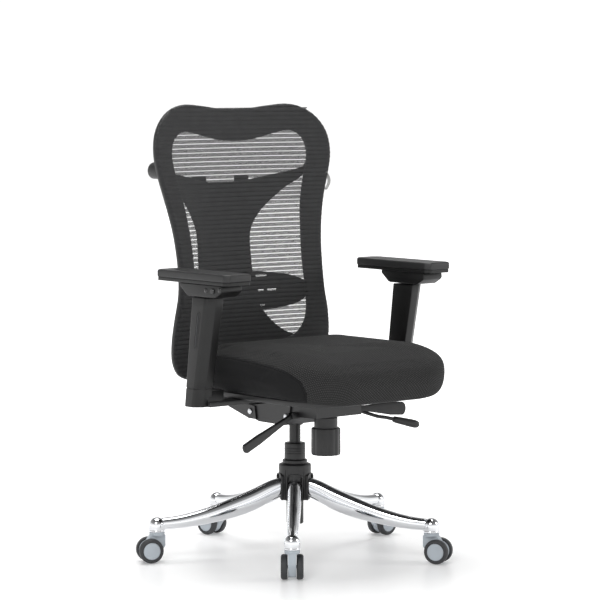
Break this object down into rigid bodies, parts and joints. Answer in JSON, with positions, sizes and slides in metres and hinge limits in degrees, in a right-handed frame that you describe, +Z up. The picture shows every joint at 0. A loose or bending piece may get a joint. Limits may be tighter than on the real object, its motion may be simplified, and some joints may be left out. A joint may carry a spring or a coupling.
{
  "type": "swivel office chair",
  "caption": "Task chair: padded seat, butterfly-shaped mesh back with lumbar plate and coat hanger, height-adjustable arms, reclining mechanism, gas lift and chrome star base on casters.",
  "frame": {"origin": "on the floor, under the middle of the chair's bounding box; the column's axis stands 7.6 mm towards -X and 19.7 mm towards -Y of it", "axes": "+Z is up; the sitter faces -Y, and the sitter's left hand is on +X"},
  "size_m": [0.765, 0.7594, 1.1052],
  "materials": {
    "chrome": "mirror-bright plating",
    "steel": "bright zinc",
    "painted_steel": "satin black powder coat",
    "black_plastic": "fine grained black",
    "grey_plastic": "light blue-grey, smooth",
    "tread": "dark soft tread",
    "soft_pad": "self-skinned black foam",
    "seat_fabric": "black knitted honeycomb",
    "mesh_fabric": "black ribbed see-through mesh"
  },
  "bodies": {
    "base": {"base_star": "chrome", "hub_cover": "black_plastic", "lift_tube": "painted_steel", "guide_bush": "black_plastic", "lift_cover": "black_plastic", "piston_rod": "steel", "thrust_bearing": "steel"},
    "lift": {"gas_cylinder": "painted_steel"},
    "release_pin": {"release_pin": "steel"},
    "mechanism": {"mechanism_housing": "painted_steel", "front_pivot_pin": "steel", "rear_pivot_pin": "steel", "tension_spring": "steel", "tension_bolt": "steel", "lever_spring": "steel"},
    "knob": {"tension_knob": "black_plastic"},
    "back": {"back_bracket": "painted_steel", "back_spine": "black_plastic", "back_frame": "black_plastic", "back_mesh": "mesh_fabric", "coat_hanger": "black_plastic"},
    "seat": {"seat_plate": "painted_steel", "seat_pan": "black_plastic", "seat_cushion": "seat_fabric", "left_arm_housing": "black_plastic", "right_arm_housing": "black_plastic"},
    "height_lever": {"height_lever": "painted_steel", "height_lever_grip": "black_plastic"},
    "tilt_lever": {"tilt_lever": "painted_steel"},
    "slide_lever": {"slide_lever": "painted_steel"},
    "lumbar": {"lumbar_plate": "black_plastic"},
    "right_arm_post": {"right_arm_post": "painted_steel"},
    "right_arm_button": {"right_arm_button": "steel"},
    "right_arm_pad": {"right_pad_base": "black_plastic", "right_arm_pad": "soft_pad"},
    "left_arm_post": {"left_arm_post": "painted_steel"},
    "left_arm_button": {"left_arm_button": "steel"},
    "left_arm_pad": {"left_pad_base": "black_plastic", "left_arm_pad": "soft_pad"},
    "caster_1": {"caster_1_fork": "grey_plastic"},
    "caster_1_wheels": {"caster_1_axle": "steel", "caster_1_wheel_inner": "tread", "caster_1_wheel_outer": "tread"},
    "caster_2": {"caster_2_fork": "grey_plastic"},
    "caster_2_wheels": {"caster_2_axle": "steel", "caster_2_wheel_inner": "tread", "caster_2_wheel_outer": "tread"},
    "caster_3": {"caster_3_fork": "grey_plastic"},
    "caster_3_wheels": {"caster_3_axle": "steel", "caster_3_wheel_inner": "tread", "caster_3_wheel_outer": "tread"},
    "caster_4": {"caster_4_fork": "grey_plastic"},
    "caster_4_wheels": {"caster_4_axle": "steel", "caster_4_wheel_inner": "tread", "caster_4_wheel_outer": "tread"},
    "caster_5": {"caster_5_fork": "grey_plastic"},
    "caster_5_wheels": {"caster_5_axle": "steel", "caster_5_wheel_inner": "tread", "caster_5_wheel_outer": "tread"}
  },
  "joints": [
    {"name": "lift_height", "type": "slide", "parent": "base", "child": "lift", "axis": [0, 0, 1], "range_m": [-0.04, 0.06]},
    {"name": "seat_swivel", "type": "hinge", "parent": "lift", "child": "mechanism", "pos_m": [-0.00764, -0.01972, 0.34], "axis": [0, 0, 1], "continuous": true},
    {"name": "knob_turn", "type": "hinge", "parent": "mechanism", "child": "knob", "pos_m": [-0.00764, -0.13672, 0.3], "axis": [0, 0, 1], "continuous": true},
    {"name": "back_recline", "type": "hinge", "parent": "mechanism", "child": "back", "pos_m": [-0.00764, 0.06028, 0.354], "axis": [-1, 0, 0], "range_deg": [0, 20], "stiffness_Nm_per_rad": 200, "springref_deg": -6.88},
    {"name": "seat_tilt", "type": "hinge", "parent": "mechanism", "child": "seat", "pos_m": [-0.00764, -0.07772, 0.354], "axis": [-1, 0, 0], "range_deg": [0, 10]},
    {"name": "height_lever_lift", "type": "hinge", "parent": "mechanism", "child": "height_lever", "pos_m": [-0.00764, -0.10972, 0.372], "axis": [-1, 0, 0], "range_deg": [0, 3], "stiffness_Nm_per_rad": 3, "springref_deg": -5.73},
    {"name": "pin_press", "type": "slide", "parent": "lift", "child": "release_pin", "axis": [0, 0, -1], "range_m": [0, 0.0048]},
    {"name": "tilt_lever_swing", "type": "hinge", "parent": "mechanism", "child": "tilt_lever", "pos_m": [-0.09364, -0.11172, 0.36], "axis": [-0.1255, 0.9921, 0], "range_deg": [-8, 8]},
    {"name": "slide_lever_swing", "type": "hinge", "parent": "mechanism", "child": "slide_lever", "pos_m": [0.07836, -0.14572, 0.368], "axis": [-0.3846, -0.9231, 0], "range_deg": [0, 8]},
    {"name": "lumbar_slide", "type": "slide", "parent": "back", "child": "lumbar", "axis": [0, 0, 1], "range_m": [-0.03, 0.03]},
    {"name": "right_arm_height", "type": "slide", "parent": "seat", "child": "right_arm_post", "axis": [0, -0.1564, 0.9877], "range_m": [0, 0.07]},
    {"name": "right_button_press", "type": "slide", "parent": "right_arm_post", "child": "right_arm_button", "axis": [1, 0, 0], "range_m": [0, 0.003], "stiffness_N_per_m": 300, "springref_m": -0.003},
    {"name": "right_pad_slide", "type": "slide", "parent": "right_arm_post", "child": "right_arm_pad", "axis": [0, 1, 0], "range_m": [-0.025, 0.025]},
    {"name": "left_arm_height", "type": "slide", "parent": "seat", "child": "left_arm_post", "axis": [0, -0.1564, 0.9877], "range_m": [0, 0.07]},
    {"name": "left_button_press", "type": "slide", "parent": "left_arm_post", "child": "left_arm_button", "axis": [-1, 0, 0], "range_m": [0, 0.003], "stiffness_N_per_m": 300, "springref_m": -0.003},
    {"name": "left_pad_slide", "type": "slide", "parent": "left_arm_post", "child": "left_arm_pad", "axis": [0, 1, 0], "range_m": [-0.025, 0.025]},
    {"name": "caster_1_swivel", "type": "hinge", "parent": "base", "child": "caster_1", "pos_m": [-0.23726, -0.28387, 0.085], "axis": [0, 0, 1], "continuous": true},
    {"name": "caster_1_roll", "type": "hinge", "parent": "caster_1", "child": "caster_1_wheels", "pos_m": [-0.22569, -0.27008, 0.03], "axis": [-0.766, 0.6428, 0], "continuous": true},
    {"name": "caster_2_swivel", "type": "hinge", "parent": "base", "child": "caster_2", "pos_m": [0.17263, -0.31973, 0.085], "axis": [0, 0, 1], "continuous": true},
    {"name": "caster_2_roll", "type": "hinge", "parent": "caster_2", "child": "caster_2_wheels", "pos_m": [0.18135, -0.33547, 0.03], "axis": [0.8746, 0.4848, 0], "continuous": true},
    {"name": "caster_3_swivel", "type": "hinge", "parent": "base", "child": "caster_3", "pos_m": [0.33339, 0.05901, 0.085], "axis": [0, 0, 1], "continuous": true},
    {"name": "caster_3_roll", "type": "hinge", "parent": "caster_3", "child": "caster_3_wheels", "pos_m": [0.35137, 0.05995, 0.03], "axis": [-0.0523, 0.9986, 0], "continuous": true},
    {"name": "caster_4_swivel", "type": "hinge", "parent": "base", "child": "caster_4", "pos_m": [0.02287, 0.32895, 0.085], "axis": [0, 0, 1], "continuous": true},
    {"name": "caster_4_roll", "type": "hinge", "parent": "caster_4", "child": "caster_4_wheels", "pos_m": [0.02005, 0.34673, 0.03], "axis": [-0.9877, -0.1564, 0], "continuous": true},
    {"name": "caster_5_swivel", "type": "hinge", "parent": "base", "child": "caster_5", "pos_m": [-0.32981, 0.11704, 0.085], "axis": [0, 0, 1], "continuous": true},
    {"name": "caster_5_roll", "type": "hinge", "parent": "caster_5", "child": "caster_5_wheels", "pos_m": [-0.34626, 0.12436, 0.03], "axis": [-0.4067, -0.9135, 0], "continuous": true}
  ],
  "couplings": [
    {"joint": "seat_tilt", "follows": "back_recline", "ratio": 0.5},
    {"joint": "pin_press", "follows": "height_lever_lift", "m_per_rad": 0.09}
  ]
}
